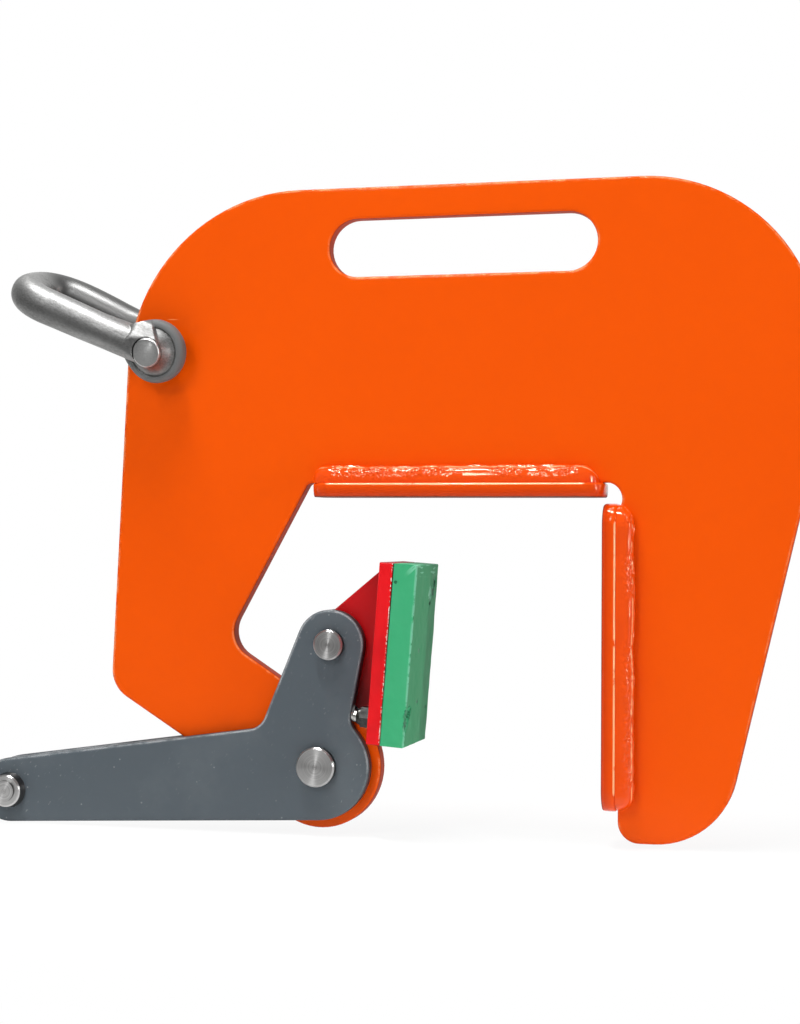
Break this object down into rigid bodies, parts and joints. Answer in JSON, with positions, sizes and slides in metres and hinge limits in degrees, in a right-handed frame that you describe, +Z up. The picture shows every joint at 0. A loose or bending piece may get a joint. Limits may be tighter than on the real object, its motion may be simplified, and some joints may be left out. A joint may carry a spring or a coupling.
{
  "type": "lever lifting clamp",
  "caption": "C-shaped lever clamp for lifting a wall or ring by its edge: plate frame with a hand slot, bell-crank lever on a pin, hinged jaw with a friction pad, and a loose shackle.",
  "frame": {"origin": "middle of the seat bar's underside, where the clamp sits on the edge of the load", "axes": "+X from the lever's tail towards the right leg, +Y through the plate from front to back, +Z up"},
  "size_m": [0.4324, 0.0733, 0.3268],
  "materials": {
    "orange_paint": "gloss enamel over welded steel",
    "grey_paint": "satin enamel",
    "red_paint": "gloss enamel",
    "green_pad": "cast polyurethane, lightly scuffed",
    "turned_steel": "turned, with rings of tool marks",
    "zinc_steel": "zinc plated",
    "shackle_steel": "satin forged, rubbed bright"
  },
  "bodies": {
    "frame": {"frame_plate": "orange_paint", "nose_bush": "turned_steel", "seat_bar": "orange_paint", "contact_bar": "orange_paint", "seat_weld_front": "orange_paint", "seat_weld_rear": "orange_paint", "contact_weld_front": "orange_paint", "contact_weld_rear": "orange_paint"},
    "lever": {"lever_front_cheek": "grey_paint", "lever_rear_cheek": "grey_paint", "main_pin": "turned_steel", "jaw_pin": "turned_steel", "chain_pin": "turned_steel", "chain_spacer": "turned_steel", "main_pin_washer": "zinc_steel", "jaw_pin_washer": "zinc_steel", "chain_pin_washer": "zinc_steel", "main_pin_ring": "zinc_steel", "jaw_pin_ring": "zinc_steel", "chain_pin_ring": "zinc_steel"},
    "jaw": {"jaw_lug": "red_paint", "jaw_bush": "turned_steel", "jaw_back_plate": "red_paint", "friction_pad": "green_pad", "jaw_lug_welds": "red_paint", "pad_screws": "zinc_steel", "pad_nuts": "zinc_steel"},
    "shackle": {"shackle_bow": "shackle_steel", "shackle_pin": "shackle_steel"}
  },
  "joints": [
    {"name": "lever_pivot", "type": "hinge", "parent": "frame", "child": "lever", "pos_m": [-0.0723, 0, -0.1356], "axis": [0, 1, 0], "range_deg": [0, 45]},
    {"name": "jaw_pivot", "type": "hinge", "parent": "lever", "child": "jaw", "pos_m": [-0.066, 0, -0.0742], "axis": [0, -1, 0], "range_deg": [0, 50]},
    {"name": "shackle_swing", "type": "hinge", "parent": "frame", "child": "shackle", "pos_m": [-0.158, 0, 0.0771], "axis": [0, 1, 0], "range_deg": [-80, 80]}
  ]
}
